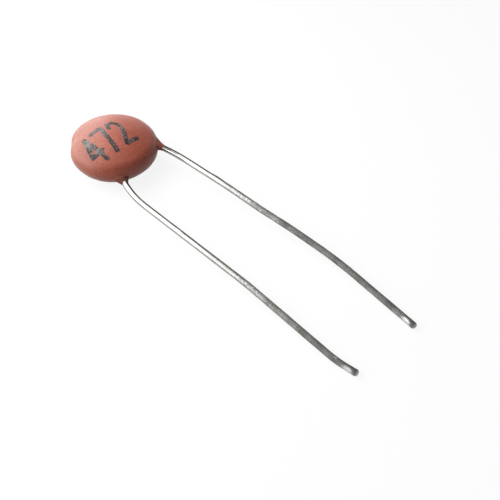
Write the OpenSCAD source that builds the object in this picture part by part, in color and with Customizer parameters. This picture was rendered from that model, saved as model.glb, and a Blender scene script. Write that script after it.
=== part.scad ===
// Radial-leaded ceramic disc capacitor.
//
// A pressed ceramic disc carries a fired silver electrode on each face. Two
// tinned wire leads grip it, one on each face, and each is soldered to its
// electrode. A kink takes each lead round the disc's edge, and outside it
// comes back to the middle plane. The whole is dipped in resin, which draws
// itself into a lens and runs a little way down both leads.
//
// Millimetres, +Z up. The part lies as it comes to rest, on the belly of the
// coating and on the two lead tips. Every piece is shaped in the part's own
// plane, with the disc's centre at its origin, and at_rest() lays it down.
// X = 0 is midway between the leads, Y = 0 is half way along the part, and
// Z = 0 is the surface that it lies on.

/* [Ceramic disc] */
// Diameter of the pressed ceramic disc
ceramic_d = 5.5; // [4.8:0.1:6.4]
// Thickness of the ceramic disc
ceramic_t = 0.6; // [0.4:0.05:1.0]
// Chamfer pressed round both edges of the ceramic disc
ceramic_chamfer = 0.06; // [0.02:0.01:0.12]

/* [Silver electrodes] */
// Bare rim of ceramic left round each electrode
electrode_margin = 0.35; // [0.2:0.05:0.6]
// Thickness of the fired silver
electrode_t = 0.03; // [0.02:0.01:0.06]

/* [Leads] */
// Diameter of the tinned wire
lead_d = 0.5; // [0.4:0.02:0.6]
// Spacing of the two leads where they leave the coating
lead_pitch = 5.08; // [4.6:0.02:5.6]
// Distance from the disc's centre to the seating line, where a board would be
seat_y = 3.1; // [2.9:0.05:3.4]
// Length of each lead below the seating line
lead_len = 25.4; // [18:0.1:30]
// Angle at which the left lead splays outwards as it leaves the disc
left_splay = 19; // [12:0.5:22]
// Angle at which the right lead splays outwards as it leaves the disc
right_splay = 17; // [12:0.5:22]
// Length of lead that sticks out of the solder at its inner end
grip_tail = 0.2; // [0.1:0.05:0.4]
// Distance beyond the ceramic disc's edge at which a lead's kink starts
edge_clear = 0.05; // [0:0.01:0.1]
// Slope of the kink that takes a lead round the edge of the ceramic disc
kink_angle = 30; // [24:1:36]
// Radius of the kink's bends, at the wire's centre line
kink_r = 0.5; // [0.4:0.05:0.6]
// Height off the middle plane at which a lead comes out of its kink
exit_offset = 0.2; // [0.1:0.01:0.3]
// Radius of the bend that ends a lead's splay, and of the bend near a tip
form_r = 8; // [5:0.5:10]
// Slant of the snipped ends, off square
snip_slant = 28; // [0:1:40]

/* [Drift of the leads] */
// Distance below the seating line at which the left lead's splay ends
left_splay_down = 2.3; // [1.8:0.1:2.8]
// Drift of the left lead outwards from its nominal line, where its splay ends
left_splay_out = 0.35; // [0.2:0.01:0.5]
// Distance below the seating line at which the right lead's splay ends
right_splay_down = 0.9; // [0.7:0.1:1.5]
// Drift of the right lead outwards from its nominal line, where its splay ends
right_splay_out = 0.28; // [0.2:0.01:0.5]
// Greatest drift of the left lead, below its splay
left_bow = 0.88; // [0.6:0.01:1.2]
// Greatest drift of the right lead, below its splay
right_bow = 1.05; // [0.6:0.01:1.2]
// Radius of the slow bends along the leads
bow_r = 35; // [20:1:50]

/* [Solder] */
// Length of the solder fillet along a lead, less its round ends
fillet_len = 1.6; // [1:0.1:2.2]
// Thickness of solder between each gripped lead and the silver
solder_bond = 0.03; // [0.02:0.01:0.06]
// Skin of solder over the top of each gripped lead
solder_skin = 0.04; // [0.02:0.01:0.1]

/* [Coating] */
// Sideways place of the disc's centre from the middle of the leads
disc_shift = -0.3; // [-0.4:0.05:0.4]
// Thickness of coating beyond the ceramic disc's edge
coat_edge = 0.75; // [0.6:0.05:1.0]
// Thickness of coating over a lead at the middle of a face
coat_crown = 0.7; // [0.6:0.05:1.0]
// Radius of the coating's rounded rim
rim_r = 1.05; // [0.85:0.05:1.15]
// Length of the coating's run down a lead, beyond the rim
run_len = 0.8; // [0.5:0.05:1.2]
// Thickness of the coating at the end of a run
run_lip = 0.03; // [0.02:0.01:0.06]
// Width of the foot from which a run rises, inside the rim
run_foot = 1.1; // [0.9:0.05:1.2]
// Radius of the hollow curve from the foot to the end of a run
run_hollow = 4; // [3:0.1:5]

/* [Hidden] */
$fn = 96;

// Distances to make a cutter pass clean through what it cuts
over = 1;

lead_r = lead_d / 2;
ceramic_r = ceramic_d / 2;
electrode_r = ceramic_r - electrode_margin;
silver_z = ceramic_t / 2 + electrode_t;
grip_z = silver_z + solder_bond + lead_r;
solder_h = solder_bond + lead_d + solder_skin;
fillet_w = lead_r + lead_d;

// The coating is a lens: two shallow faces that roll into a round rim
coat_r = ceramic_r + coat_edge;
coat_h = grip_z + lead_r + coat_crown;
rim_ring = coat_r - rim_r;
face_r = (pow(rim_ring, 2) + pow(coat_h, 2) - pow(rim_r, 2)) / (2 * (coat_h - rim_r));
face_drop = face_r - coat_h;
face_edge = face_r * rim_ring / (face_r - rim_r);

// At rest the belly's sphere and the lead tips touch the surface together
tip_y = seat_y + lead_len;
rest_a = face_drop + lead_r;
rest_reach = norm([rest_a, tip_y]);
rest_tilt = atan2(tip_y, rest_a) - acos(face_r / rest_reach);
rest_height = face_r - face_drop * cos(rest_tilt);
rest_y = (tip_y - coat_r) / 2;

// The left lead lies under the disc's back face and the right on its front.
LEFT = -1;
RIGHT = 1;

// Slow bends that the leads have taken in handling, down to the tip: [share of
// the lead's length, share of its greatest drift, radius of the bend]
left_bends = [[0.57, 0.415, bow_r], [0.93, 1, form_r], [1, 0.75, 0]];
right_bends = [
    [0.25, 0.61, bow_r], [0.38, 0.695, bow_r], [0.5, 0.885, bow_r], [0.68, 1, bow_r], [1, 0.295, 0]
];

function slow_bends(side) = side == LEFT ? left_bends : right_bends;
function bow(side) = side == LEFT ? left_bow : right_bow;
function unit(v) = v / norm(v);

// A point in the middle plane, by its distance down a lead and its drift
function beside_lead(side, down, drift) =
    [side * (lead_pitch / 2 + drift) - disc_shift, -seat_y - down, 0];

// A lead's corners beyond the coating: the end of its splay, and then the rest
function splay_end(side) = side == LEFT
    ? beside_lead(LEFT, left_splay_down, left_splay_out)
    : beside_lead(RIGHT, right_splay_down, right_splay_out);
function outer_corners(side) = concat(
    [splay_end(side)],
    [for (bend = slow_bends(side)) beside_lead(side, bend[0] * lead_len, bend[1] * bow(side))]
);

// The straight line on which a lead crosses the disc, seen from above: a
// point at a distance back from the lead's first outer corner
function splay(side) = side == LEFT ? left_splay : right_splay;
function inward(side) = [-side * sin(splay(side)), cos(splay(side)), 0];
function on_line(side, back, z) = splay_end(side) + back * inward(side) + [0, 0, side * z];

// Distance back to where that line passes nearest to the disc's centre, and to
// where it comes in over a circle round the centre
function back_to_middle(side) = -splay_end(side) * inward(side);
function back_to(side, radius) =
    let (aside = norm(on_line(side, back_to_middle(side), 0)))
    back_to_middle(side) - sqrt(pow(radius, 2) - pow(aside, 2));

// The kink comes down from the grip's height to the height of the way out
kink_run = (grip_z - exit_offset) / tan(kink_angle);
function kink_back(side) = back_to(side, ceramic_r + edge_clear);
function kink_out(side) = on_line(side, kink_back(side) - kink_run, exit_offset);

// A lead's inner end is just past the solder, which is at the line's middle
function inner_end(side) = back_to_middle(side) + fillet_len / 2 + fillet_w + grip_tail;

// Every corner of a lead from its inner end to its tip
function lead_route(side) = concat(
    [on_line(side, inner_end(side), grip_z)],
    [on_line(side, kink_back(side), grip_z)],
    [kink_out(side)],
    outer_corners(side)
);

// Radius of the bend at each of those corners
function bend_radii(side) =
    concat([0, kink_r, kink_r, form_r], [for (bend = slow_bends(side)) bend[2]]);

// Angle of the bend at a corner, and the wire it takes on each side
function turn(route, i) =
    i <= 0 || i >= len(route) - 1 ? 0 :
    acos(unit(route[i] - route[i - 1]) * unit(route[i + 1] - route[i]));
function taken(route, radii, i) = radii[i] * tan(turn(route, i) / 2);

// A level direction square to a heading
function level_x(heading) = unit(cross(heading, [0, 0, 1]));

// Roll about a heading that brings the wire's own X round to a direction
function roll_to(direction, side_x, heading) =
    atan2(-direction * cross(side_x, heading), direction * side_x);

// Places a child's X, Y and Z along three unit vectors, at a point
module set_on(x, y, z, at) {
    multmatrix([
        [x[0], y[0], z[0], at[0]],
        [x[1], y[1], z[1], at[1]],
        [x[2], y[2], z[2], at[2]]
    ])
    children();
}

// Places a child's Y along a heading, with its X level
module along(heading, at) {
    y = unit(heading);
    x = level_x(y);
    set_on(x, y, cross(x, y), at) children();
}

// Carries a child on to the end of a bend that starts at the origin, heads
// along Y and turns towards -X
module after_bend(radius, angle) {
    translate([radius * (cos(angle) - 1), radius * sin(angle), 0]) rotate([0, 0, angle]) children();
}

// That bend itself: a ring of wire, cut square across where it starts and ends
module wire_bend(radius, angle) {
    reach = radius + over;
    intersection() {
        translate([-radius, 0, 0]) rotate_extrude() translate([radius, 0]) circle(r = lead_r);
        translate([-radius, 0, -over]) cube([reach, reach, 2 * over]);
        after_bend(radius, angle) translate([-radius, -reach, -over]) cube([reach, reach, 2 * over]);
    }
}

module wire_straight(length) {
    rotate([-90, 0, 0]) cylinder(r = lead_r, h = length);
}

// What side cutters take off the end of a wire, on a slant
module snip() {
    rotate([-snip_slant, 0, 0]) translate([-over, 0, -over]) cube(2 * over);
}

// The wire from one corner's bend to its tip, heading along Y: a straight run,
// then the next bend, rolled into its own plane, and all that follows it. Each
// piece starts in the frame that the last one ends in, so their ends match.
// The argument side_x is the wire's own X, as it points in the part's plane.
module wire_from(route, radii, i, side_x) {
    heading = unit(route[i + 1] - route[i]);
    straight = norm(route[i + 1] - route[i]) - taken(route, radii, i) - taken(route, radii, i + 1);
    if (i + 2 == len(route)) {
        difference() {
            wire_straight(straight);
            translate([0, straight, 0]) rotate([0, roll_to(level_x(heading), side_x, heading), 0]) snip();
        }
    } else {
        next = unit(route[i + 2] - route[i + 1]);
        inner = unit(next - heading * (heading * next));
        radius = radii[i + 1];
        angle = turn(route, i + 1);
        wire_straight(straight);
        translate([0, straight, 0]) rotate([0, roll_to(-inner, side_x, heading), 0]) {
            wire_bend(radius, angle);
            after_bend(radius, angle)
            wire_from(route, radii, i + 1, heading * sin(angle) - inner * cos(angle));
        }
    }
}

// One whole lead, from its inner end on the electrode
module lead(side) {
    route = lead_route(side);
    first = route[1] - route[0];
    along(first, route[0]) wire_from(route, bend_radii(side), 0, level_x(unit(first)));
}

// Flank of a solder fillet: hollow, from the top of the lead to the silver
module solder_flank() {
    difference() {
        square([fillet_w, solder_h]);
        translate([fillet_w, solder_h]) circle(r = lead_d);
    }
}

// Solder fillet along a gripped lead, on the silver and nowhere else, and with
// no hole for the lead yet
module solder_form(side) {
    half = fillet_len / 2;
    bottom = side * silver_z;
    intersection() {
        set_on(inward(side), cross([0, 0, side], inward(side)), [0, 0, side],
            on_line(side, back_to_middle(side), silver_z)) {
            translate([-half, 0, 0])
            rotate([90, 0, 90])
            linear_extrude(fillet_len) {
                solder_flank();
                mirror([1, 0]) solder_flank();
            }
            for (end = [0, 1])
                mirror([end, 0, 0])
                translate([half, 0, 0])
                rotate([0, 0, -90])
                rotate_extrude(angle = 180)
                solder_flank();
        }
        translate([0, 0, min(bottom, bottom + side * over)]) cylinder(r = electrode_r, h = over);
    }
}

module solder(side) {
    difference() {
        solder_form(side);
        lead(side);
    }
}

// Half outline of the coating's lens
module lens_outline() {
    intersection() {
        translate([0, -face_drop]) circle(r = face_r);
        translate([0, face_drop]) circle(r = face_r);
        translate([0, -coat_h]) square([face_edge, 2 * coat_h]);
    }
    translate([rim_ring, 0]) circle(r = rim_r);
}

// Resin drawn down a lead: a hollow cone from inside the rim to a thin lip
module run(side) {
    tip_r = lead_r + run_lip;
    foot_r = run_foot / 2;
    depth = sqrt(pow(run_hollow, 2) - pow(run_hollow + tip_r - foot_r, 2));
    start = kink_out(side);
    way = unit(splay_end(side) - start);
    rim_back = back_to(side, coat_r);
    rim_at = on_line(side, rim_back, 0);
    rim_z = start[2] * rim_back / (kink_back(side) - kink_run);
    along(way, [rim_at[0], rim_at[1], rim_z] + way * (run_len - depth))
    rotate([-90, 0, 0])
    rotate_extrude()
    difference() {
        square([foot_r, depth]);
        translate([tip_r + run_hollow, depth]) circle(r = run_hollow);
    }
}

// Lays a piece down on the surface that the part rests on
module at_rest() {
    translate([disc_shift, rest_y, rest_height]) rotate([rest_tilt, 0, 0]) children();
}

module ceramic_body() {
    bevel = ceramic_chamfer;
    rotate_extrude() polygon([
        [0, -ceramic_t / 2],
        [ceramic_r - bevel, -ceramic_t / 2],
        [ceramic_r, bevel - ceramic_t / 2],
        [ceramic_r, ceramic_t / 2 - bevel],
        [ceramic_r - bevel, ceramic_t / 2],
        [0, ceramic_t / 2]
    ]);
}

module electrode(side) {
    translate([0, 0, side == RIGHT ? ceramic_t / 2 : -silver_z])
    cylinder(r = electrode_r, h = electrode_t);
}

module ceramic_disc() {
    color("Wheat") at_rest() ceramic_body();
}

module electrode_front() {
    color("Gainsboro") at_rest() electrode(RIGHT);
}

module electrode_back() {
    color("Gainsboro") at_rest() electrode(LEFT);
}

module solder_front() {
    color("DarkGray") at_rest() solder(RIGHT);
}

module solder_back() {
    color("DarkGray") at_rest() solder(LEFT);
}

module lead_left() {
    color("Silver") at_rest() lead(LEFT);
}

module lead_right() {
    color("Silver") at_rest() lead(RIGHT);
}

// The coating fills every space round what it holds
module coating() {
    color("IndianRed") at_rest() difference() {
        union() {
            rotate_extrude() intersection() {
                lens_outline();
                translate([0, -coat_h]) square([coat_r, 2 * coat_h]);
            }
            run(LEFT);
            run(RIGHT);
        }
        ceramic_body();
        for (side = [LEFT, RIGHT]) {
            electrode(side);
            solder_form(side);
            lead(side);
        }
    }
}

coating();
ceramic_disc();
electrode_front();
electrode_back();
solder_front();
solder_back();
lead_left();
lead_right();
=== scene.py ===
# %% [markdown]
# # A ceramic disc capacitor
#
# A disc capacitor is a small plate of ceramic, silvered on both faces, with a
# tinned wire soldered to each face and the whole dipped in resin. The packed
# CAD model gives every size. Its ceramic, silver and solder only get materials
# here. The coating and the two wires are made again as finer surfaces in the
# same place, because small unevenness is what makes them look real.

# %% Load the frame
import bpy
import math
import numpy as np
from mathutils import Matrix


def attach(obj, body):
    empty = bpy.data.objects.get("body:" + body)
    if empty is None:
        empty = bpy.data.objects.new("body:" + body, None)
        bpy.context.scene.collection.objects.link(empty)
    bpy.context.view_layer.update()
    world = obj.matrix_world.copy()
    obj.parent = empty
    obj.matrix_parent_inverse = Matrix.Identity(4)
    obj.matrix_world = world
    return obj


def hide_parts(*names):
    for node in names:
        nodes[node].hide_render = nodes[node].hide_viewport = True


MM = 0.001

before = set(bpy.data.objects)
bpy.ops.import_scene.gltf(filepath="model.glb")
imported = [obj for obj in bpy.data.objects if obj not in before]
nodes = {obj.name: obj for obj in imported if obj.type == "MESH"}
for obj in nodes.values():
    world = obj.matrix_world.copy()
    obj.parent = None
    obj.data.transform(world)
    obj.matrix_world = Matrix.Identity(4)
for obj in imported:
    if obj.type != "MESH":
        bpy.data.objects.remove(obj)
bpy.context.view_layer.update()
scene = bpy.context.scene
rng = np.random.default_rng(5)


# %% [markdown]
# ## Sizes of the real part
#
# The part is drawn flat, with the disc's centre at the origin, the leads
# towards -Y and millimetres as its unit, which keeps each formula short. The
# coating's section is a shallow arc over each face and a tight one round the
# rim. The shallow arc's radius could be a size of its own, but it is worked
# out, so that the two arcs meet and share a tangent.

# %% Sizes, in millimetres
LEAD_R = 0.25
LEAD_PITCH = 5.08
SEAT_Y = 3.1
LEAD_LENGTH = 25.4
CERAMIC_R = 2.75
# Height of a lead's axis over the middle plane, where it is soldered
GRIP_Z = 0.61
# Resin beyond the ceramic's edge, resin over the leads, radius of the rim
COAT_EDGE = 0.75
COAT_CROWN = 0.7
RIM_R = 1.05

COAT_R = CERAMIC_R + COAT_EDGE
COAT_HALF = GRIP_Z + LEAD_R + COAT_CROWN
RIM_RING = COAT_R - RIM_R
FACE_R = (RIM_RING ** 2 + COAT_HALF ** 2 - RIM_R ** 2) / (2 * (COAT_HALF - RIM_R))
FACE_DROP = FACE_R - COAT_HALF
print(f"coating {2 * COAT_R:.2f} mm across and {2 * COAT_HALF:.2f} mm thick")

# %% [markdown]
# ## Where the part lies
#
# A loose part comes to rest on the belly of its coating and on its two wire
# tips, so it is tilted a little. Each object could be turned into that pose,
# but the objects stay unturned at the origin, as the CAD nodes do. So one
# function lays points down before they go into a mesh.

# %% Lay the part down
DISC_X = -0.3
DISC_Y = (SEAT_Y + LEAD_LENGTH - COAT_R) / 2
TIP_Y = SEAT_Y + LEAD_LENGTH
REST_A = FACE_DROP + LEAD_R
REST_TILT = math.atan2(TIP_Y, REST_A) - math.acos(FACE_R / math.hypot(TIP_Y, REST_A))
DISC_Z = FACE_R - FACE_DROP * math.cos(REST_TILT)


def at_rest(points):
    """Lays points down: a turn about X by the tilt at rest, then a shift of the
    disc's centre to its place. Millimetres in the part's plane become metres."""
    x, y, z = np.moveaxis(np.asarray(points, float), -1, 0)
    c, s = math.cos(REST_TILT), math.sin(REST_TILT)
    laid = np.stack([x + DISC_X, c * y - s * z + DISC_Y, s * y + c * z + DISC_Z], axis=-1)
    return laid * MM


print(f"tilt at rest {math.degrees(REST_TILT):.2f} deg, disc centre {DISC_Z:.3f} mm up")

# %% [markdown]
# ## Camera
#
# The part is 32 mm long and is seen from about 100 mm, so perspective shows:
# the tips of the wires are drawn wider than their roots. A camera could be
# moved about until the view looks right. Here its place follows from the way
# it looks and from one known point: the disc's centre, its pixel in the image
# and its distance.

# %% Axes and places
def axes(azimuth, elevation):
    """Axes of a camera or lamp whose back, z, is towards an azimuth and an
    elevation in degrees: x is level, and y is the cross product of z and x."""
    a, e = math.radians(azimuth), math.radians(elevation)
    z = np.array([math.cos(a) * math.cos(e), math.sin(a) * math.cos(e), math.sin(e)])
    x = np.array([-math.sin(a), math.cos(a), 0.0])
    return x, np.cross(z, x), z


def standing(x, y, z, place):
    """The matrix that puts a camera or lamp at a place in millimetres: its axes
    are the first three columns, and the place in metres is the last."""
    return Matrix([[x[i], y[i], z[i], place[i] * MM] for i in range(3)] + [[0, 0, 0, 1]])


print("at azimuth 0, level is along", axes(0, 0)[0])

# %% Place the camera
# The way from the part to the camera in degrees, and the disc's distance in mm
AZIMUTH, ELEVATION = 225, 44.5
DISTANCE = 100.0
# Side of the square image, focal length and the disc's centre, in pixels
IMAGE = 500
FOCAL = 1260
DISC_PIXEL = (113.8, 147.7)
SENSOR = 36.0
CLIP_NEAR, CLIP_FAR = 0.005, 5.0

right, up, back = axes(AZIMUTH, ELEVATION)
aside = (DISC_PIXEL[0] - IMAGE / 2) * DISTANCE / FOCAL
below = (DISC_PIXEL[1] - IMAGE / 2) * DISTANCE / FOCAL
eye = np.array([DISC_X, DISC_Y, DISC_Z]) - aside * right + below * up + DISTANCE * back

lens = bpy.data.cameras.new("camera")
lens.sensor_width = SENSOR
lens.lens = SENSOR * FOCAL / IMAGE
lens.clip_start = CLIP_NEAR
lens.clip_end = CLIP_FAR
camera = bpy.data.objects.new("camera", lens)
scene.collection.objects.link(camera)
camera.matrix_world = standing(right, up, back, eye)
scene.camera = camera
print("camera at", np.round(eye, 2), "mm, lens", round(lens.lens, 1), "mm")

# %% [markdown]
# ## Surfaces from grids
#
# The coating and each wire are closed skins. They could be pushed into shape
# from a ready sphere and cylinders. Here a formula says where each point of a
# grid goes, and one helper turns the grid into a mesh: quads between
# neighbours, a seam that closes on itself, and a fan of triangles at each end.

# %% From a grid to a closed skin
def new_piece(name, points, faces):
    """A mesh object from metre points and faces, smooth shaded."""
    mesh = bpy.data.meshes.new(name)
    mesh.from_pydata(points, [], faces)
    mesh.polygons.foreach_set("use_smooth", np.ones(len(mesh.polygons), bool))
    mesh.update()
    piece = bpy.data.objects.new(name, mesh)
    scene.collection.objects.link(piece)
    return piece


def closed_tube(name, rings, start, end):
    """Joins rings of points, an array (rows, columns, 3), into a closed skin.
    Neighbouring rings are joined by quads, and the first and last ring to one
    point each by triangles. It faces outward when each ring runs as the fingers
    of the right hand do while the thumb points back to the start."""
    rows, columns = rings.shape[:2]
    points = np.concatenate([rings.reshape(-1, 3), [start, end]])
    row = np.arange(rows - 1)[:, None] * columns
    next_row = row + columns
    here = np.arange(columns)[None, :]
    beside = (here + 1) % columns
    quads = np.stack([row + here, next_row + here, next_row + beside, row + beside], -1)
    one = np.arange(columns)
    two = (one + 1) % columns
    last = (rows - 1) * columns
    first_fan = np.stack([one, two, np.full(columns, rows * columns)], -1)
    last_fan = np.stack([last + two, last + one, np.full(columns, rows * columns + 1)], -1)
    faces = quads.reshape(-1, 4).tolist() + first_fan.tolist() + last_fan.tolist()
    return new_piece(name, points, faces)


print("skin helpers ready")

# %% [markdown]
# Rows as close everywhere as the busiest places need would take five to eight
# times as many faces. So their spacing changes: close where the shape is busy,
# and wide where it is plain. The other helpers are the smooth bump that dents
# are made of, and a number kept at each point, for a material to read.

# %% Spacing, bumps and marks
SAMPLES = 4000


def spaced(start, end, step_at):
    """Places from start to end whose local spacing follows step_at(place): the
    integral of one over the step, cut into equal parts."""
    fine = np.linspace(start, end, SAMPLES)
    density = 1 / step_at(fine)
    count = np.concatenate([[0], np.cumsum((density[1:] + density[:-1]) / 2 * np.diff(fine))])
    return np.interp(np.linspace(0, count[-1], int(count[-1]) + 2), count, fine)


def closer(coarse, fine, busy):
    """A step between two: coarse where busy is 0, fine where it is 1, and in
    proportion between. Where busy is over 1, the fine step holds."""
    return coarse - (coarse - fine) * np.clip(busy, 0, 1)


def bump(x, width):
    """A smooth bump: one at x = 0, falling as the bell curve of that width."""
    return np.exp(-(x / width) ** 2)


def mark(piece, name, values):
    """Keeps one number for every point of a piece, in the order of its points."""
    piece.data.attributes.new(name, "FLOAT", "POINT").data.foreach_set(
        "value", np.ravel(values).astype(np.float32))


print("spacing helpers ready")

# %% [markdown]
# ## The route of each wire
#
# A lead starts on its electrode, kinks round the disc's edge, leaves the
# coating splayed outwards and then wanders, as handled wire does. A curve
# object could follow that route, but no dent could be pressed into its skin.
# So the route is a chain of corners with a bend radius each, the same as in the
# CAD, and a grid is swept along it.

# %% Forming of the leads, in millimetres and radians
LEFT, RIGHT = -1, 1
SIDES = (LEFT, RIGHT)
SPLAY = {LEFT: math.radians(19), RIGHT: math.radians(17)}
# Where the splay ends: down the lead, and out from the line of its pitch
SPLAY_DOWN = {LEFT: 2.3, RIGHT: 0.9}
SPLAY_OUT = {LEFT: 0.35, RIGHT: 0.28}
# Greatest drift of a lead to its side
BOW = {LEFT: 0.88, RIGHT: 1.05}
BOW_R, FORM_R, KINK_R = 35.0, 8.0, 0.5
KINK_ANGLE = math.radians(30)
# Height over the middle plane that the kink brings a lead down to
EXIT_Z = 0.2
# Gap between the ceramic's edge and the kink
EDGE_CLEAR = 0.05
# A lead ends past the middle of its solder joint, by half the joint's length,
# its width and a short tail
FILLET_LENGTH = 1.6
FILLET_WIDTH = 3 * LEAD_R
GRIP_TAIL = 0.2
# Share of the length, share of the greatest drift, and bend radius
SLOW_BENDS = {
    LEFT: [(0.57, 0.415, BOW_R), (0.93, 1, FORM_R), (1, 0.75, 0)],
    RIGHT: [(0.25, 0.61, BOW_R), (0.38, 0.695, BOW_R), (0.5, 0.885, BOW_R),
            (0.68, 1, BOW_R), (1, 0.295, 0)]}
print("slow bends:", {side: len(bends) for side, bends in SLOW_BENDS.items()})

# %% Corners of the two routes
def beside_lead(side, down, drift):
    """A point in the middle plane, by its distance down a lead and its drift."""
    return np.array([side * (LEAD_PITCH / 2 + drift) - DISC_X, -SEAT_Y - down, 0.0])


def route(side):
    """Corners of a lead and the bend radius at each, from the inner end. The
    kink starts where the splayed line leaves the ceramic's circle, found by
    Pythagoras from the line's distance to the disc's centre."""
    first = beside_lead(side, SPLAY_DOWN[side], SPLAY_OUT[side])
    inward = np.array([-side * math.sin(SPLAY[side]), math.cos(SPLAY[side]), 0.0])
    middle = -first @ inward
    off = np.linalg.norm(first + middle * inward)
    kink = middle - math.sqrt((CERAMIC_R + EDGE_CLEAR) ** 2 - off ** 2)
    run = (GRIP_Z - EXIT_Z) / math.tan(KINK_ANGLE)
    over = np.array([0, 0, side])
    inner = middle + FILLET_LENGTH / 2 + FILLET_WIDTH + GRIP_TAIL
    corners = [
        first + inner * inward + GRIP_Z * over,
        first + kink * inward + GRIP_Z * over,
        first + (kink - run) * inward + EXIT_Z * over,
        first]
    radii = [0, KINK_R, KINK_R, FORM_R]
    for share, drift, radius in SLOW_BENDS[side]:
        corners.append(beside_lead(side, share * LEAD_LENGTH, drift * BOW[side]))
        radii.append(radius)
    return np.array(corners), radii


print("corners:", {side: len(route(side)[0]) for side in SIDES})

# %% [markdown]
# Wire bends in arcs, not at corners. A curve could round them, but dents and
# the cut need to know how far along the wire each ring is. So a function gives
# the point and the heading at any distance along the route.

# %% Follow a route
TINY = 1e-9


def unit(v):
    """Vectors brought to length one: each is divided by its own length."""
    return v / np.linalg.norm(v, axis=-1, keepdims=True)


def follow(corners, radii, places):
    """Points and headings at distances along a chain of straights joined by
    arcs. Each arc is tangent to both of its straights: it takes
    radius * tan(turn / 2) off each."""
    heads = unit(np.diff(corners, axis=0))
    points = np.zeros((len(places), 3))
    ways = np.zeros((len(places), 3))
    gone, start = 0.0, corners[0]
    for i, head in enumerate(heads):
        last = i + 1 == len(heads)
        turn = 0 if last else math.acos(np.clip(head @ heads[i + 1], -1, 1))
        cut = 0 if last else radii[i + 1] * math.tan(turn / 2)
        length = np.linalg.norm(corners[i + 1] - start) - cut
        reach = gone + length
        here = (places >= gone - TINY) & ((places <= reach + TINY) if last else (places < reach))
        points[here] = start + (places[here, None] - gone) * head
        ways[here] = head
        gone = reach
        if last:
            break
        radius = radii[i + 1]
        toward = unit(heads[i + 1] - head * (head @ heads[i + 1]))
        here = (places >= gone) & (places < gone + radius * turn)
        angle = (places[here, None] - gone) / radius
        points[here] = start + length * head \
            + radius * (np.sin(angle) * head + (1 - np.cos(angle)) * toward)
        ways[here] = np.cos(angle) * head + np.sin(angle) * toward
        gone += radius * turn
        start = corners[i + 1] + cut * heads[i + 1]
    return points, ways, gone


WHOLE = {side: follow(*route(side), np.zeros(1))[2] for side in SIDES}
print("wire lengths in mm:", {side: round(length, 2) for side, length in WHOLE.items()})

# %% [markdown]
# ## The dipped coating
#
# The soldered part is dipped in liquid resin and baked. Surface tension pulls
# the resin into a lens with a round rim. A flattened sphere would come close,
# but its rim would be an ellipse, which is too sharp. So the lens is a profile
# turned round an axis: a shallow arc over each face and a tight one at the rim.

# %% Profile of the lens
ARC_END = math.asin(RIM_RING / (FACE_R - RIM_R))
FACE_ARC = FACE_R * ARC_END
RIM_ARC = RIM_R * (math.pi / 2 - ARC_END)
HALF_PROFILE = FACE_ARC + RIM_ARC


def lens_profile(s):
    """Radius and height at a distance s from the top pole along the skin: an
    arc of the face, an arc round the rim, and the face again underneath."""
    lower = s > HALF_PROFILE
    run = np.where(lower, 2 * HALF_PROFILE - s, s)
    face = np.minimum(run, FACE_ARC) / FACE_R
    rim = math.pi / 2 - ARC_END - np.maximum(run - FACE_ARC, 0) / RIM_R
    on_rim = run > FACE_ARC
    radius = np.where(on_rim, RIM_RING + RIM_R * np.cos(rim), FACE_R * np.sin(face))
    height = np.where(on_rim, RIM_R * np.sin(rim), FACE_R * np.cos(face) - FACE_DROP)
    return radius, np.where(lower, -height, height)


print(f"face arc {FACE_ARC:.2f} mm, rim arc {RIM_ARC:.2f} mm")

# %% [markdown]
# A dipped rim is never a true circle. This one stands proud on one side, is
# shy towards the wires and has one flatter place. A sculpting brush could do
# that by eye. A list of bumps does it with sizes that can be read and changed.

# %% Unevenness of the rim
# Direction round the disc in degrees from +X, height in mm, width in degrees
RIM_BUMPS = [(12, 0.10, 38), (-88, -0.09, 30), (137, -0.16, 12), (75, 0.03, 25), (-150, 0.04, 20)]


def rim_offset(theta):
    """Sum of the bumps at an angle round the disc."""
    total = np.zeros_like(theta)
    for degrees, height, width in RIM_BUMPS:
        away = (theta - math.radians(degrees) + math.pi) % (2 * math.pi) - math.pi
        total += height * bump(away, math.radians(width))
    return total


print("bumps on the rim:", len(RIM_BUMPS))

# %% [markdown]
# The lens is a grid of the distance over its profile and the angle round the
# disc. Resin gathers where a wire passes through the rim, so that place is read
# from the wire's route and gets the finest cells. The rest is smooth and needs
# few, where a subdivided sphere would be fine everywhere.

# %% Where the wires leave
# From the end of a wire's kink to the rim
TO_RIM = 0.9

EXIT = {}
for side in SIDES:
    corners, _ = route(side)
    EXIT[side] = (corners[2], unit(corners[3] - corners[2]))
exit_angle = {side: math.atan2(*(at + TO_RIM * way)[1::-1]) for side, (at, way) in EXIT.items()}
print("wires leave at", np.degrees(list(exit_angle.values())).round(1), "degrees")

# %% Grid of the lens
FINE, COARSE = 0.024, 0.11
# Half widths of the fine places, in radians round the disc and mm over the
# rim, and how busy they are: over 1, so that the fine step holds
FINE_ROUND, FINE_OVER = 0.30, 0.95
BUSY_ROUND, BUSY_OVER = 1.4, 1.5


def step_round(theta):
    """Spacing round the disc in radians: fine near each wire, coarse elsewhere."""
    near = sum(bump(theta - exit_angle[side], FINE_ROUND) for side in SIDES)
    return closer(COARSE, FINE, BUSY_ROUND * near) / COAT_R


def step_over(s):
    """Spacing over the profile: fine round the rim, coarse on the faces."""
    return closer(COARSE, FINE, BUSY_OVER * bump(s - HALF_PROFILE, FINE_OVER))


theta = spaced(-math.pi, math.pi, step_round)[:-1]
s = spaced(0, 2 * HALF_PROFILE, step_over)[1:-1]
radius, height = lens_profile(s)
# The fourth power keeps the rim's unevenness off the faces
edge = (radius / COAT_R) ** 4
radius = radius[:, None] + edge[:, None] * rim_offset(theta)[None, :]
skin = np.stack([
    radius * np.cos(theta)[None, :],
    radius * np.sin(theta)[None, :],
    np.broadcast_to(height[:, None], radius.shape)], -1)
print("lens grid:", skin.shape[0], "rows by", skin.shape[1], "columns")

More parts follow.
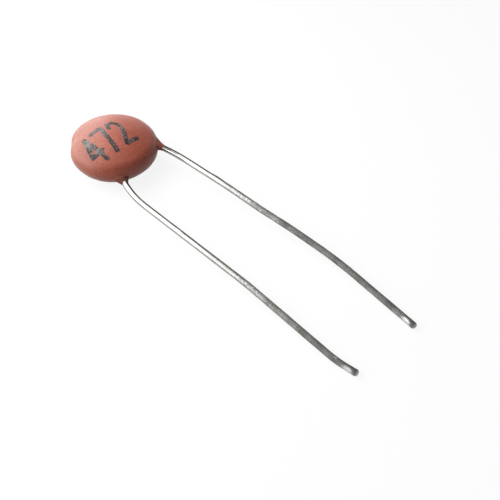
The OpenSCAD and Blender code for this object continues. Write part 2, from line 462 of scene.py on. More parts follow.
# %% [markdown]
# ## The skirts round the wires
#
# Each wire draws a short skirt of resin with it, which ends in a thin, uneven
# lip. Skirts could be pieces of their own, but a line would show where they
# meet the lens. So the lens's own skin is lifted along the wire. A skirt is a
# height along the wire, highest against it and falling in a hollow curve with
# the distance from its axis, and a smooth maximum joins it to the lens as one
# pool of resin.

# %% Shape of the skirts, in millimetres
# How far a skirt climbs past the rim, and how it falls away from the wire: a
# quick drop, a slope and a curve
SKIRT = {LEFT: 0.64, RIGHT: 0.48}
SKIRT_DROP, SKIRT_FALL = 0.42, 0.16
SKIRT_SLOPE = 0.55
SKIRT_CURVE = 2.2
# How much more quickly it falls over and under the wire than beside it
FLATTEN = 2.2
# Radius over which the smooth maximum rounds the join
BLEND = 0.08
# The skin is left alone further inside the rim than SKIRT_INSIDE, and is fully
# lifted SKIRT_RAMP further out
SKIRT_INSIDE, SKIRT_RAMP = 1.1, 0.5
# Depth inside the wire to which the lip keeps rising, so that no gap shows
LIP_DIP = 0.06
# Waves of the lip: longer on two sides, leaning to one, and a ripple
LIP_SIDES, LIP_LEAN, LIP_RIPPLE = 0.04, 0.03, 0.02
LIP_SHIFT = 0.9
print("skirts reach past the rim:", SKIRT)

# %% Lift the skin along each wire
def lip_unevenness(phi, side):
    """Height of the lip at an angle round the wire: waves that go round twice,
    once and five times, added up."""
    shift = LIP_SHIFT * side
    return LIP_SIDES * np.cos(2 * phi) + LIP_LEAN * np.sin(phi + shift) \
        + LIP_RIPPLE * np.sin(5 * phi + 2 * shift)


def lift(skin, side):
    """Moves the skin along a wire to the smooth maximum of two heights, its own
    and the skirt's: log(exp(a / k) + exp(b / k)) * k. Gives back the skin and
    how far each point climbed."""
    start, way = EXIT[side]
    to_rim = COAT_R - np.linalg.norm(start[:2])
    out = to_rim / (unit(start[:2]) @ way[:2])
    away = skin - start
    along = away @ way
    square = away - along[..., None] * way
    distance = np.linalg.norm(square, axis=-1)
    level = unit(np.cross(way, [0, 0, 1]))
    rise = square @ np.cross(level, way)
    phi = np.arctan2(rise, square @ level)
    narrowed = 1 + FLATTEN * (rise / (distance + 1e-6)) ** 2
    beyond = np.maximum(distance - LEAD_R, -LIP_DIP) * narrowed
    fall = SKIRT_DROP * (1 - np.exp(-beyond / SKIRT_FALL)) + SKIRT_SLOPE * beyond \
        + SKIRT_CURVE * np.maximum(beyond, 0) ** 2
    wanted = out + SKIRT[side] + lip_unevenness(phi, side) - fall
    joined = BLEND * np.logaddexp(along / BLEND, wanted / BLEND)
    near = np.clip((along - out + SKIRT_INSIDE) / SKIRT_RAMP, 0, 1)
    climb = near ** 2 * (3 - 2 * near) * (joined - along)
    return skin + climb[..., None] * way, climb


climbs = {}
for side in SIDES:
    skin, climbs[side] = lift(skin, side)
print("skirts climb", [round(float(climb.max()), 2) for climb in climbs.values()], "mm")

# %% [markdown]
# ## The finished skin
#
# Low swells run over a dipped skin. A Displace modifier could raise them, but
# the ink has to follow them too, so their height has to be known at any place.
# A sum of sines gives that. Its waves are drawn once, at random.

# %% Random swells
# Height, then the shortest and the longest wave and how many there are
SWELL, SWELL_WAVES = 0.010, (1.6, 3.6, 14)
RIPPLE, RIPPLE_WAVES = 0.0035, (0.45, 0.9, 30)
# The lens is flat, so its outward direction is mostly up or down
LENS_OUTWARD = [1, 1, 3.0]


def draw_waves(shortest, longest, count):
    """Draws random waves and gives back a function of points: sines of random
    direction, length and phase, added up. It is mostly within one."""
    heading = unit(rng.normal(size=(count, 3)))
    length = rng.uniform(shortest, longest, count)
    phase = rng.uniform(0, 2 * math.pi, count)

    def height(points):
        """The sum of the sines at these points."""
        return np.sin(points @ heading.T * 2 * math.pi / length + phase).sum(-1) / math.sqrt(count)

    return height


swell = draw_waves(*SWELL_WAVES)
ripple = draw_waves(*RIPPLE_WAVES)


def swollen(points, above=0.0):
    """Points of the lens moved out by swell, ripple and a height above them."""
    height = above + SWELL * swell(points) + RIPPLE * ripple(points)
    return points + height[..., None] * unit(points * LENS_OUTWARD)


print("swells of about", SWELL, "and", RIPPLE, "mm")

# %% Close the coating
# Resin that climbed this far is drawn as thin resin on the wire: rougher, and painted darker as
# the shade that the skirts lie in below the rim. The right skirt is thicker and gets less of both.
CLIMB_THIN = 0.15
THIN_AND_SHADED = {LEFT: 1.0, RIGHT: 0.55}

thin_resin_and_shade = np.maximum(*(
    THIN_AND_SHADED[side] * np.clip(climb / CLIMB_THIN, 0, 1) for side, climb in climbs.items()))
coating = closed_tube("coating_dipped", at_rest(swollen(skin)),
                      at_rest([0, 0, COAT_HALF]), at_rest([0, 0, -COAT_HALF]))
mark(coating, "thin_resin_and_shade", np.append(thin_resin_and_shade, [0, 0]))
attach(coating, "root")
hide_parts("coating")
print("coating:", len(coating.data.polygons), "faces")

# %% [markdown]
# ## The tinned wires
#
# A tinned wire is round, but never perfectly. The tin is a little lumpy, pliers
# and tape leave small dents, and side cutters pinch the end to a blunt, slanted
# wedge and press a bare flat beside it. A bent cylinder would look machined.
# The skin here is a grid of the distance along the wire and the angle round
# it. Changes of radius make the lumps, the dents and the pinch, and a shift of
# the last rings along the wire makes the slant.

# %% Dents and cut of the wires, in millimetres
AROUND = 40
# Steps along the wire, how far back the fine one reaches, and how busy that is
WIRE_FINE, WIRE_COARSE, CUT_FINE, CUT_BUSY = 0.03, 0.16, 0.5, 1.5
# Lumps in the tin: height, waves as above, radius at which they are asked for
LUMPS, LUMP_WAVES, LUMPS_R = 0.0035, (0.6, 2.5, 16), 0.3
# Distance from the tip, angle round the wire in radians, depth, length, width
# in radians, and how bare the tin was rubbed
DENTS = {
    LEFT: [
        (24.2, 1.2, 0.020, 0.50, 0.50, 0), (17.9, 1.6, -0.030, 0.35, 0.70, 0),
        (11.7, 1.9, 0.020, 0.40, 0.60, 0), (6.3, 0.9, 0.028, 0.25, 0.50, 0),
        (4.4, 0.9, 0.022, 0.20, 0.50, 0), (1.9, 1.5, 0.024, 0.12, 0.30, 0.9)],
    RIGHT: [
        (20.3, 2.6, -0.035, 0.40, 0.80, 0), (14.6, 1.7, 0.018, 0.50, 0.60, 0),
        (9.0, 1.0, 0.020, 0.30, 0.50, 0)]}
# The flat that the cutter's jaw left beside each cut, in the same terms
JAW_FACET = (0.74, 0.40, 0.045, 0.46, 0.90, 1.0)
# Slant of the cut, how far back it is drawn, and the rounding of its edge: its
# length and the share of the radius that it takes
SNIP_SLANT, SLANT_LENGTH = math.radians(28), 1.2
SNIP_ROUND, SNIP_TAKES = 0.13, 0.26
# Length of the pinch, and how much wider and thinner it makes the end
PINCH, PINCH_WIDER, PINCH_THINNER = 0.35, 0.15, 0.20
# How bare the cut is, and how far back that shows
CUT_BARE, CUT_BARE_LENGTH = 0.35, 0.07
# How soon a dent is bare as it gets deeper, and the share that never is
RUB_STEEP, RUB_SPARED = 1.6, 0.3


def dented(side, tip, phi, radius):
    """Takes each dent, a bump along and round the wire, off the radius, and
    gives back how bare the tin is: a straight line in the dent's depth."""
    bare = CUT_BARE * np.clip(1 - tip / CUT_BARE_LENGTH, 0, 1) * np.ones_like(phi)
    for from_tip, angle, depth, run, width, shine in DENTS[side] + [JAW_FACET]:
        turn = (phi - angle + math.pi) % (2 * math.pi) - math.pi
        dent = bump(tip - from_tip, run) * bump(turn, width)
        radius = radius - depth * dent
        bare = np.maximum(bare, shine * np.clip(RUB_STEEP * dent - RUB_SPARED, 0, 1))
    return radius, bare


print("dents:", {side: len(dents) for side, dents in DENTS.items()})

# %% Sweep each wire
def wire_skin(side):
    """Rings of a wire, its two ends and how bare each point is. A ring is the
    centre plus radius times cosine along the wire's level side and sine along
    its top."""
    length = WHOLE[side]

    def step(place):
        """Spacing along the wire: fine at the cut, coarse elsewhere."""
        return closer(WIRE_COARSE, WIRE_FINE, CUT_BUSY * bump(length - place, CUT_FINE))

    places = spaced(0, length, step)
    points, ways, _ = follow(*route(side), places)
    level = unit(np.cross(ways, [0, 0, 1]))
    top = np.cross(level, ways)
    phi = np.linspace(0, 2 * math.pi, AROUND, endpoint=False)
    tip = (length - places)[:, None]
    # The lumps are asked for on a straight tube about as thick as the wire
    tube = np.stack(np.broadcast_arrays(
        places[:, None], LUMPS_R * np.cos(phi), LUMPS_R * np.sin(phi)), -1)
    radius = LEAD_R + LUMPS * draw_waves(*LUMP_WAVES)(tube)
    radius, bare = dented(side, tip, phi, radius)
    radius = radius * (1 - SNIP_TAKES * np.clip(1 - tip / SNIP_ROUND, 0, 1) ** 2)
    pinch = bump(tip, PINCH)
    wide = radius * (1 + PINCH_WIDER * pinch)
    thin = radius * (1 - PINCH_THINNER * pinch)
    ring = points[:, None] \
        + (wide * np.cos(phi))[..., None] * level[:, None] \
        + (thin * np.sin(phi))[..., None] * top[:, None]
    slant = -math.tan(SNIP_SLANT) * thin * (np.sin(phi) + 1) / 2
    ring = ring + (slant * np.clip(1 - tip / SLANT_LENGTH, 0, 1))[..., None] * ways[:, None]
    return ring, points[0], ring[-1].mean(0), np.append(bare, [0, CUT_BARE])


print("rings have", AROUND, "points")

# %% Make both wires
wires = []
for side, name in ((LEFT, "left"), (RIGHT, "right")):
    ring, inner_end, cut_end, bare = wire_skin(side)
    wire = closed_tube("wire_" + name, at_rest(ring), at_rest(inner_end), at_rest(cut_end))
    mark(wire, "bare", bare)
    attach(wire, "root")
    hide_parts("lead_" + name)
    wires.append(wire)
    print(wire.name, len(wire.data.polygons), "faces")

# %% [markdown]
# ## The printed value
#
# The value is stamped on the coating in dark ink and has partly rubbed off. It
# could be drawn in the resin's material, but ink is a film with a thickness and
# an edge, so it is a piece of its own. The film starts as a drawing: the
# distance from each point of a flat grid to the nearest pen stroke. The digits
# are plain ones that stand for any value.

# %% Strokes of plain digits
VALUE = "472"
DIGIT_HEIGHT = 2.75
DIGIT_WIDTH = 0.96
DIGIT_PITCH = 1.39
# Half the width of a stroke
STROKE = 0.188
# The pen's way through each digit, in shares of its width and height
PEN = {
    "4": [(0.72, 0), (0.72, 1), (0, 0.32), (1, 0.32)],
    "7": [(0, 1), (1, 1), (0.35, 0)],
    "2": [(0.05, 0.80), (0.28, 0.98), (0.72, 0.98), (0.95, 0.78), (0.88, 0.56), (0, 0), (1, 0)]}


def stroke_distance(x, y):
    """Distance from points to the nearest stroke: the smallest distance to any
    of the segments, each by its nearest point."""
    nearest = np.full(x.shape, np.inf)
    for place, digit in enumerate(VALUE):
        left = (place - 1) * DIGIT_PITCH - DIGIT_WIDTH / 2
        for (x0, y0), (x1, y1) in zip(PEN[digit], PEN[digit][1:]):
            ax, ay = left + x0 * DIGIT_WIDTH, (y0 - 0.5) * DIGIT_HEIGHT
            bx, by = left + x1 * DIGIT_WIDTH, (y1 - 0.5) * DIGIT_HEIGHT
            dx, dy = bx - ax, by - ay
            t = np.clip(((x - ax) * dx + (y - ay) * dy) / (dx * dx + dy * dy), 0, 1)
            nearest = np.minimum(nearest, np.hypot(x - ax - t * dx, y - ay - t * dy))
    return nearest


print("value drawn:", VALUE)

# %% [markdown]
# Ink stays where the stroke's half width minus that distance is above zero.
# Noise added to it makes the edge ragged, and a second noise that also has to
# stay above zero wears holes. Squares of the grid with ink are kept. That alone
# would leave a stepped edge, so points near the edge are first moved on to it.

# %% Where the ink has stayed
CELL = 0.021
# Half the width and height of the grid
STAMP = (2.6, 1.8)
RAGGED = 0.026
GRAIN_WAVES, WEAR_WAVES = (0.09, 0.60, 90), (0.8, 2.0, 12)
# Ink left, how far fine grain and broad wear change it, and how much more is
# left for each mm to the right of WORN_FROM
WORN, WORN_GRAIN, WORN_BROAD, WORN_SIDE, WORN_FROM = 0.25, 0.17, 0.10, 0.06, -1.0
# In cells: how far outside a point may lie to be moved, its longest move, and
# how far outside a kept point may lie
MOVE_WITHIN, MOVE_MOST, KEEP_WITHIN = 1.2, 0.6, 0.3

x, y = np.meshgrid(*(np.arange(-half, half, CELL) for half in STAMP), indexing="ij")
flat = np.stack([x, y, 0 * x], -1)
grain = draw_waves(*GRAIN_WAVES)(flat)
worn = draw_waves(*WEAR_WAVES)(flat)
inside = STROKE - stroke_distance(x, y) + RAGGED * grain
inside = np.minimum(
    inside, WORN + WORN_GRAIN * grain + WORN_BROAD * worn + WORN_SIDE * (x - WORN_FROM))


def snap(x, y, inside):
    """Moves grid points near the contour on to it: one Newton step along the
    gradient, no longer than most of a cell."""
    gx, gy = np.gradient(inside, CELL)
    steep = gx ** 2 + gy ** 2 + 1e-6
    limit = MOVE_MOST * CELL
    near = (inside < 0) & (inside > -MOVE_WITHIN * CELL)
    move_x = np.clip(-inside * gx / steep, -limit, limit)
    move_y = np.clip(-inside * gy / steep, -limit, limit)
    return np.where(near, x + move_x, x), np.where(near, y + move_y, y)


ink_x, ink_y = snap(x, y, inside)
keep = inside > -KEEP_WITHIN * CELL
cell = keep[:-1, :-1] & keep[1:, :-1] & keep[1:, 1:] & keep[:-1, 1:]
number = np.arange(x.size).reshape(x.shape)
quads = np.stack([number[:-1, :-1], number[1:, :-1], number[1:, 1:], number[:-1, 1:]], -1)[cell]
print("ink covers", round(float(len(quads) * CELL ** 2), 2), "mm2")

# %% [markdown]
# The film is turned as the stamp was, set on the coating's face and moved with
# its swells. A Shrinkwrap modifier could lay it there too, but the face has a
# formula, so its height is simply worked out. Solidify gives the film its
# thickness, because its top and bottom are the same shape.

# %% Ink film on the lens
INK = 0.004
# Air under the film, so that it clears the flat faces of the skin
INK_ABOVE = 0.003
VALUE_AT = (-0.80, -0.20)
VALUE_TURN = math.radians(1.5)

c, s = math.cos(VALUE_TURN), math.sin(VALUE_TURN)
stamp_x = c * ink_x - s * ink_y + VALUE_AT[0]
stamp_y = s * ink_x + c * ink_y + VALUE_AT[1]
on_lens = np.sqrt(FACE_R ** 2 - stamp_x ** 2 - stamp_y ** 2) - FACE_DROP
film = swollen(np.stack([stamp_x, stamp_y, on_lens], -1), above=INK_ABOVE).reshape(-1, 3)
used, inverse = np.unique(quads, return_inverse=True)
ink = new_piece("printed_value", at_rest(film[used]), inverse.reshape(-1, 4).tolist())
thickness = ink.modifiers.new("film thickness", "SOLIDIFY")
thickness.thickness = INK * MM
thickness.offset = 1.0
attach(ink, "root")
print("ink:", len(ink.data.polygons), "faces")

# %% [markdown]
# ## Materials
#
# Each material starts from what the real one is. A texture image would fix its
# detail at one size, so patterns come from noise nodes that read the object's
# own coordinates, in metres. Colours are written as sRGB hex values and turned
# to linear ones, and one function adds a node with its settings and links.

# %% Scales and colours
def per_metre(size):
    """A pattern's scale from the size of its grain in millimetres: how many
    grains fit in a metre."""
    return 1 / (size * MM)


def linear(hex_colour):
    """sRGB hex to linear: the standard curve, channel by channel."""
    srgb = np.array([int(hex_colour[i:i + 2], 16) for i in (1, 3, 5)]) / 255
    rgb = np.where(srgb <= 0.04045, srgb / 12.92, ((srgb + 0.055) / 1.055) ** 2.4)
    return (*map(float, rgb), 1.0)


def grey(value):
    """A grey of a given linear brightness: the same number in each channel."""
    return (value, value, value, 1.0)


print("a grain of 0.1 mm repeats", round(per_metre(0.1)), "times in a metre")

# %% Nodes and materials
def in_use(sockets, name=None):
    """The first socket in use, or the first in use that has this name. A Mix
    node has others of the same name, for numbers and for colours."""
    return next(s for s in sockets if s.enabled and name in (None, s.name))


def node(tree, kind, inputs=(), stops=(), **settings):
    """Adds a shader node of a kind. Settings are its properties, and stops are
    a colour ramp's (position, colour) pairs. Inputs are pairs of a socket, by
    name or number, and what goes in: a value, an output to link, or a node,
    which stands for its first output."""
    made = tree.nodes.new("ShaderNode" + kind)
    for name, value in settings.items():
        setattr(made, name, value)
    for name, value in inputs:
        socket = made.inputs[name] if isinstance(name, int) else in_use(made.inputs, name)
        if isinstance(value, bpy.types.Node):
            value = in_use(value.outputs)
        if isinstance(value, bpy.types.NodeSocket):
            tree.links.new(value, socket)
        else:
            socket.default_value = value
    for _ in stops[2:]:
        made.color_ramp.elements.new(0.5)
    for number, (position, colour) in enumerate(stops):
        made.color_ramp.elements[number].position = position
        made.color_ramp.elements[number].color = colour
    return made


def material(name):
    """A new material and its tree, which is still empty."""
    made = bpy.data.materials.new(name)
    made.use_nodes = True
    made.node_tree.nodes.clear()
    return made, made.node_tree


def wear(made, *pieces):
    """Puts one material on pieces or CAD nodes, in place of any other."""
    for piece in pieces:
        piece.data.materials.clear()
        piece.data.materials.append(made)
    print("material:", made.name, "on", ", ".join(piece.name for piece in pieces))


print("node helpers ready")

# %% Noises and mixes
def noise_at(tree, place, size, detail):
    """A noise over the object, the size of whose grain is in millimetres."""
    return node(tree, "TexNoise", [
        ("Vector", place), ("Scale", per_metre(size)), ("Detail", detail)])


def mixed(tree, factor, a, b, data_type="RGBA"):
    """Mixes two colours or numbers: a where the factor is 0, b where it is 1."""
    return node(tree, "Mix", [("Factor", factor), ("A", a), ("B", b)], data_type=data_type)


print("noise and mix ready")

# %% [markdown]
# ### Dipped phenolic resin
#
# The coating is a phenolic resin filled with mineral powder, dipped and baked. Its colour is a
# little cloudy and speckled by grains of filler. On the lit side, away from the wires, a duller,
# less red brown is painted in: painted light that stands in for strong light washing the red out
# there. One flat colour would look like new plastic, so two noises mix the base. The pale specks
# come from the cells of a Voronoi texture, of which only a few are used. Grains of filler are
# about 0.02 mm, finer than a pixel, so they are drawn over four times as coarse.

# %% Base colour of the resin, sizes in millimetres
CLOUDS = 1.43
# Towards the lit side, which is painted duller, and how far from the disc's centre it is dullest
LIT_SIDE_WAY = unit(np.array([-1.0, 1.0, 0.0]))
LIT_SIDE_FULL = 2.85

resin, tree = material("phenolic_resin_dipped_and_baked")
place = node(tree, "TexCoord").outputs["Object"]
cloud = noise_at(tree, place, CLOUDS, detail=4.0)
even = node(tree, "ValToRGB", [("Fac", cloud)], [
    (0.3, linear("#b25440")), (0.7, linear("#c16149"))])
# Painted light: a duller, less red copy of the ramp, mixed in on the lit side to stand in for
# strong light washing out the red
lit_side_tone = node(tree, "ValToRGB", [("Fac", cloud)], [
    (0.3, linear("#9a5440")), (0.7, linear("#a76149"))])
across = node(tree, "VectorMath", [(0, place), (1, LIT_SIDE_WAY)], operation="DOT_PRODUCT")
disc_middle = float(at_rest([0, 0, 0]) @ LIT_SIDE_WAY)
lit_side_share = node(tree, "MapRange", [
    ("Value", across), ("From Min", disc_middle), ("From Max", disc_middle + LIT_SIDE_FULL * MM)])
base = mixed(tree, lit_side_share, even, lit_side_tone)
# Prints how far the painted duller tone of the lit side reaches
print("the resin browns over", LIT_SIDE_FULL, "mm")

# %% Grain and specks of the resin, sizes in millimetres
FILLER_GRAIN = 0.0909
SPECK_SPACING = 0.4545
# Share of the cells that hold a speck, and its soft edge in shares of a cell
SPECK_CHANCE, SPECK_EDGE = 0.07, (0.10, 0.16)

grain = noise_at(tree, place, FILLER_GRAIN, detail=3.0)
fine = node(tree, "ValToRGB", [("Fac", grain)], [
    (0.36, linear("#7c382a")), (0.64, linear("#d27b61"))])
grainy = mixed(tree, factor=0.35, a=base, b=fine)
specks = node(tree, "TexVoronoi", [
    ("Vector", place), ("Scale", per_metre(SPECK_SPACING)), ("Randomness", 1.0)])
near = node(tree, "ValToRGB", [("Fac", specks.outputs["Distance"])], [
    (SPECK_EDGE[0], grey(1)), (SPECK_EDGE[1], grey(0))])
chance = node(tree, "SeparateColor", [("Color", specks.outputs["Color"])])
rare = node(tree, "Math", [
    (0, chance.outputs["Red"]), (1, 1 - SPECK_CHANCE)], operation="GREATER_THAN")
pale = node(tree, "Math", [(0, near), (1, rare)], operation="MULTIPLY")
spotted = mixed(tree, pale, grainy, linear("#e0b0a0"))
print("one cell in", round(1 / SPECK_CHANCE), "holds a speck")

# %% [markdown]
# Where a skirt runs thin over its wire, the resin is rougher, and it is painted darker there as
# shade, because the skirts lie in shadow below the rim. The skin has that as a number at each
# point, so no second material is needed. The surface is satin, with a powdery sheen from filler
# that stands out of it. A clear coat would look lacquered.

# %% Surface of the resin
THIN_AND_SHADE_SHARE = 0.88
GRAIN_RELIEF = 0.02

thin = node(tree, "Attribute", attribute_name="thin_resin_and_shade").outputs["Fac"]
skirt_thin_and_shaded = node(tree, "Math", [(0, thin), (1, THIN_AND_SHADE_SHARE)], operation="MULTIPLY")
# Painted shade: the skirts are drawn dark brown where they lie in shadow; the same number also
# makes them rougher
colour = mixed(tree, skirt_thin_and_shaded, spotted, linear("#542722"))
rough = node(tree, "MapRange", [("Value", skirt_thin_and_shaded), ("To Min", 0.45), ("To Max", 0.95)])
relief = node(tree, "Bump", [
    ("Height", grain), ("Strength", 0.35), ("Distance", GRAIN_RELIEF * MM)])
shader = node(tree, "BsdfPrincipled", [
    ("Base Color", colour), ("Roughness", rough), ("IOR", 1.55),
    ("Sheen Weight", 1.0), ("Sheen Roughness", 0.3), ("Normal", relief)])
node(tree, "OutputMaterial", [("Surface", shader)])
wear(resin, coating)

# %% [markdown]
# ### Tinned copper wire
#
# The wire is copper, hot-tinned and drawn. Clean tin is a pale grey mirror, and the IOR stays the
# default, as for any metal. The half towards the tips was handled and taped, and is dull. The half
# towards the disc is also painted a lighter tone: a painted reflection that stands in for the
# bright highlight near the disc. One noise could mix bright and dull everywhere, but here the
# place along the wire decides, and noise only makes the border uneven. Near the border the dull
# film has worn off in spots.

# %% Where the tin is dull and where it is bare, sizes in millimetres
FROST_PATCH = 1.11
FROST_GRIT = 0.2
# Towards the clean end of both wires. The change to dull is near the origin,
# and is this long to each side along the wires, and this uneven
CLEAN_WAY = (-0.95, 1.0, 0.0)
DULL_HALF, DULL_UNEVEN = 5.2, 4.0

tin, tree = material("tinned_copper_wire_drawn")
place = node(tree, "TexCoord").outputs["Object"]
frost = noise_at(tree, place, FROST_PATCH, detail=5.0)
grit = noise_at(tree, place, FROST_GRIT, detail=3.0)
along = node(tree, "VectorMath", [(0, place), (1, CLEAN_WAY)], operation="DOT_PRODUCT")
uneven = node(tree, "Math", [
    (0, frost), (1, DULL_UNEVEN * MM), (2, along)], operation="MULTIPLY_ADD")
dull = node(tree, "MapRange", [
    ("Value", uneven), ("From Min", DULL_HALF * MM), ("From Max", -DULL_HALF * MM)],
    interpolation_type="SMOOTHSTEP")
clean = node(tree, "Math", [(0, 1.0), (1, dull)], operation="SUBTRACT")
border = node(tree, "Math", [(0, dull), (1, clean)], operation="MULTIPLY")
spots = node(tree, "MapRange", [
    ("Value", grit), ("From Min", 0.54), ("From Max", 0.64), ("To Max", 2.6)])
worn_off = node(tree, "Math", [(0, border), (1, spots)], operation="MULTIPLY", use_clamp=True)
rubbed = node(tree, "Attribute", attribute_name="bare").outputs["Fac"]
bare = node(tree, "Math", [(0, rubbed), (1, worn_off)], operation="MAXIMUM")
print("tin turns dull over", 2 * DULL_HALF, "mm")

# %% [markdown]
# Clean tin, dull tin and the bare metal of a cut or a rub each have a tone and a roughness. The
# clean tone is partly a painted reflection: it is lighter, to stand in for the bright highlight
# near the disc. Draw lines run along the wire. An anisotropic shader could stretch the highlight
# for them, but lines in the relief also break it up. They are finer than a pixel, so they are
# drawn about a pixel wide.

# %% Surface of the tin
DRAW_LINE_WIDTH, DRAW_LINE_LENGTH = 0.111, 2.0
LINE_RELIEF, GRIT_RELIEF = 0.01, 0.03

# The clean tone is lighter partly as a painted reflection of the bright highlight near the disc,
# and partly because that tin is unworn
clean_tone_and_painted_glint = node(tree, "ValToRGB", [("Fac", frost)], [
    (0.3, linear("#9b9b98")), (0.7, linear("#aeaeab"))])
dull_tone = node(tree, "ValToRGB", [("Fac", frost)], [
    (0.3, linear("#7b7b78")), (0.7, linear("#a3a3a0"))])
aged_and_painted_glint = mixed(tree, dull, clean_tone_and_painted_glint, dull_tone)
tone = mixed(tree, bare, aged_and_painted_glint, linear("#d3d4d2"))
aged_rough = node(tree, "MapRange", [("Value", dull), ("To Min", 0.18), ("To Max", 0.82)])
rough = mixed(tree, factor=bare, a=aged_rough, b=0.42, data_type="FLOAT")
lines_at = node(tree, "Mapping", [("Vector", place), ("Scale", (
    per_metre(DRAW_LINE_WIDTH), per_metre(DRAW_LINE_LENGTH), per_metre(DRAW_LINE_WIDTH)))])
lines = node(tree, "TexNoise", [("Vector", lines_at), ("Scale", 1.0), ("Detail", 2.0)])
drawn = node(tree, "Bump", [
    ("Height", lines), ("Strength", 0.3), ("Distance", LINE_RELIEF * MM)])
gritty = node(tree, "MapRange", [("Value", dull), ("To Min", 0.03), ("To Max", 0.35)])
relief = node(tree, "Bump", [
    ("Height", grit), ("Strength", gritty), ("Distance", GRIT_RELIEF * MM), ("Normal", drawn)])
shader = node(tree, "BsdfPrincipled", [
    ("Base Color", tone), ("Metallic", 1.0), ("Roughness", rough), ("Normal", relief)])
node(tree, "OutputMaterial", [("Surface", shader)])
wear(tin, *wires)

# %% [markdown]
# ### Stamped ink
#
# Epoxy marking ink dries matte and nearly black. Where it has rubbed thin it
# turns grey and lets the resin through. It could be transparent there, but a
# film this thin would then show its own underside. So the tone that shows
# through is mixed in, by a fine noise for the resin's grain and a broad one for
# the way the ink was rubbed.

# %% Ink material
RUB_GRAIN, RUB_PATCH = 0.111, 1.11

marking, tree = material("epoxy_ink_stamped_and_rubbed")
place = node(tree, "TexCoord").outputs["Object"]
rub = noise_at(tree, place, RUB_GRAIN, detail=2.0)
patch = noise_at(tree, place, RUB_PATCH, detail=2.0)
both = mixed(tree, factor=0.42, a=rub, b=patch, data_type="FLOAT")
tone = node(tree, "ValToRGB", [("Fac", both)], [
    (0.42, linear("#291c1c")), (0.50, linear("#443736")),
    (0.57, linear("#797a79")), (0.64, linear("#937c76"))])
shader = node(tree, "BsdfPrincipled", [("Base Color", tone), ("Roughness", 0.55), ("IOR", 1.5)])
node(tree, "OutputMaterial", [("Surface", shader)])
wear(marking, ink)

# %% [markdown]
# ### What the coating hides
#
# The ceramic is a titanate, pressed from powder and fired: matte and creamy.
# The silver is a fired paste, slightly frosted. The solder has flowed, so it is
# smoother and greyer. They show only in a cut part and could stay plain, but
# one recipe gives all three a tone, a roughness and a relief that drift with
# one noise.

# %% Inner materials
INNER_RELIEF = 0.01


def inner_finish(name, dark, light, metallic, smoothest, roughest, grain_size):
    """A surface whose colour and roughness drift between two values each, by a
    noise whose grain is given in millimetres."""
    made, tree = material(name)
    place = node(tree, "TexCoord").outputs["Object"]
    noise = noise_at(tree, place, grain_size, detail=4.0)
    tone = node(tree, "ValToRGB", [("Fac", noise)], [(0.3, linear(dark)), (0.7, linear(light))])
    rough = node(tree, "ValToRGB", [("Fac", noise)], [
        (0.3, grey(smoothest)), (0.7, grey(roughest))])
    relief = node(tree, "Bump", [
        ("Height", noise), ("Strength", 0.3), ("Distance", INNER_RELIEF * MM)])
    shader = node(tree, "BsdfPrincipled", [
        ("Base Color", tone), ("Metallic", metallic), ("Roughness", rough), ("Normal", relief)])
    node(tree, "OutputMaterial", [("Surface", shader)])
    return made


ceramic = inner_finish(
    "titanate_ceramic_pressed_and_fired", "#cbb892", "#dccaa6", 0.0, 0.6, 0.8, 0.2)
silver = inner_finish("silver_paste_fired", "#bdbbb6", "#d8d6d1", 1.0, 0.35, 0.5, 0.125)
solder = inner_finish("tin_solder_flowed", "#9c9b98", "#b5b4b0", 1.0, 0.2, 0.35, 0.4)
wear(ceramic, nodes["ceramic_disc"])
wear(silver, nodes["electrode_front"], nodes["electrode_back"])
wear(solder, nodes["solder_front"], nodes["solder_back"])

# %% [markdown]
# ## Floor
#
# A sheet of white paper carries the part and keeps its soft shadow. Lighting it
# until it is white would take more light than the part can bear. So the paper
# is a dark matte that only catches shadow, and it glows towards the camera and
# towards glossy and see-through rays, so that the tin mirrors white paper too.

# %% Paper floor
FLOOR_HALF = 1.2
PAPER_GLOW, PAPER_MATTE = 0.87, 0.16


def looked_at(tree):
    """One for camera, glossy and see-through rays and zero for others: the
    largest of the three marks that Light Path gives."""
    ray = node(tree, "LightPath").outputs
    either = node(tree, "Math", [
        (0, ray["Is Camera Ray"]), (1, ray["Is Glossy Ray"])], operation="MAXIMUM")
    return node(tree, "Math", [
        (0, either), (1, ray["Is Transmission Ray"])], operation="MAXIMUM")


floor = new_piece("floor", [
    (x * FLOOR_HALF, y * FLOOR_HALF, 0) for x, y in ((-1, -1), (1, -1), (1, 1), (-1, 1))],
    [(0, 1, 2, 3)])

paper, tree = material("white_paper_floor")
glow = node(tree, "Emission", [("Color", grey(1)), ("Strength", PAPER_GLOW)])
unlit = node(tree, "Emission", [("Color", grey(0)), ("Strength", 0.0)])
shown = node(tree, "MixShader", [(0, looked_at(tree)), (1, unlit), (2, glow)])
matte = node(tree, "BsdfDiffuse", [("Color", grey(PAPER_MATTE))])
both = node(tree, "AddShader", [(0, shown), (1, matte)])
node(tree, "OutputMaterial", [("Surface", both)])
wear(paper, floor)

# %% [markdown]
# ## The room
#
# A weak, even world fills the shade. An image of a studio could do that, but
# the tin only needs one thing to mirror: a white wall above the paper's edge.
# So the world is white below a low height and dim above it, and the wall, like
# the paper's glow, is there only to be looked at.

# %% World
ROOM = 0.145
# The wall's soft top edge, as the upward part of a direction of length one
WALL_TOP = (0.20, 0.26)

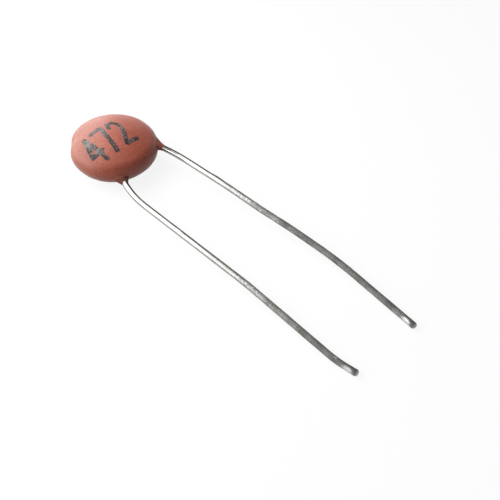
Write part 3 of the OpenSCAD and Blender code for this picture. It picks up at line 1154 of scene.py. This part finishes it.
world = bpy.data.worlds.new("studio")
scene.world = world
world.use_nodes = True
tree = world.node_tree
tree.nodes.clear()
direction = node(tree, "TexCoord").outputs["Generated"]
upward = node(tree, "SeparateXYZ", [("Vector", direction)]).outputs["Z"]
low = node(tree, "MapRange", [
    ("Value", upward), ("From Min", WALL_TOP[0]), ("From Max", WALL_TOP[1]),
    ("To Min", 1.0), ("To Max", 0.0)])
wall = node(tree, "Math", [(0, looked_at(tree)), (1, low)], operation="MULTIPLY")
room = node(tree, "Background", [("Color", grey(1)), ("Strength", ROOM)])
white = node(tree, "Background", [("Color", grey(1)), ("Strength", 1.0)])
mix = node(tree, "MixShader", [(0, wall), (1, room), (2, white)])
node(tree, "OutputWorld", [("Surface", mix)])
print("world: even light of", ROOM)

# %% [markdown]
# ## Lamps
#
# Soft light comes in level from behind the part, through a window with a
# smaller one above it, and from a second window high on the left. A weak
# ceiling evens it out. One large lamp overhead would be simpler, but would
# flatten the coating, whose near side is shaded by the low light from behind.
# Area lamps are used, because a lamp's size sets how soft its shadow is.

# %% Windows and ceiling
def soft_box(name, centre, back, width, height, radiance):
    """A rectangular lamp, sizes in mm, whose back is towards an azimuth and an
    elevation in degrees. Its power is pi * area * radiance."""
    data = bpy.data.lights.new(name, "AREA")
    data.shape = "RECTANGLE"
    data.size = width * MM
    data.size_y = height * MM
    data.energy = math.pi * width * height * MM ** 2 * radiance
    lamp = bpy.data.objects.new(name, data)
    lamp.visible_camera = False
    scene.collection.objects.link(lamp)
    lamp.matrix_world = standing(*axes(*back), centre)
    return lamp


lamps = [
    soft_box("window", (-28, 42, 38), (90, 0), 96, 72, 3.3),
    soft_box("upper window", (-12, 42, 92), (90, 0), 64, 36, 2.6),
    soft_box("side window", (-145, 46, 124), (166, 0), 76, 126, 4.1),
    soft_box("ceiling", (0, 0, 300), (0, 90), 150, 150, 0.4)]
scene.view_settings.view_transform = "Standard"
print("lamps in watts:", {lamp.name: round(lamp.data.energy, 3) for lamp in lamps})
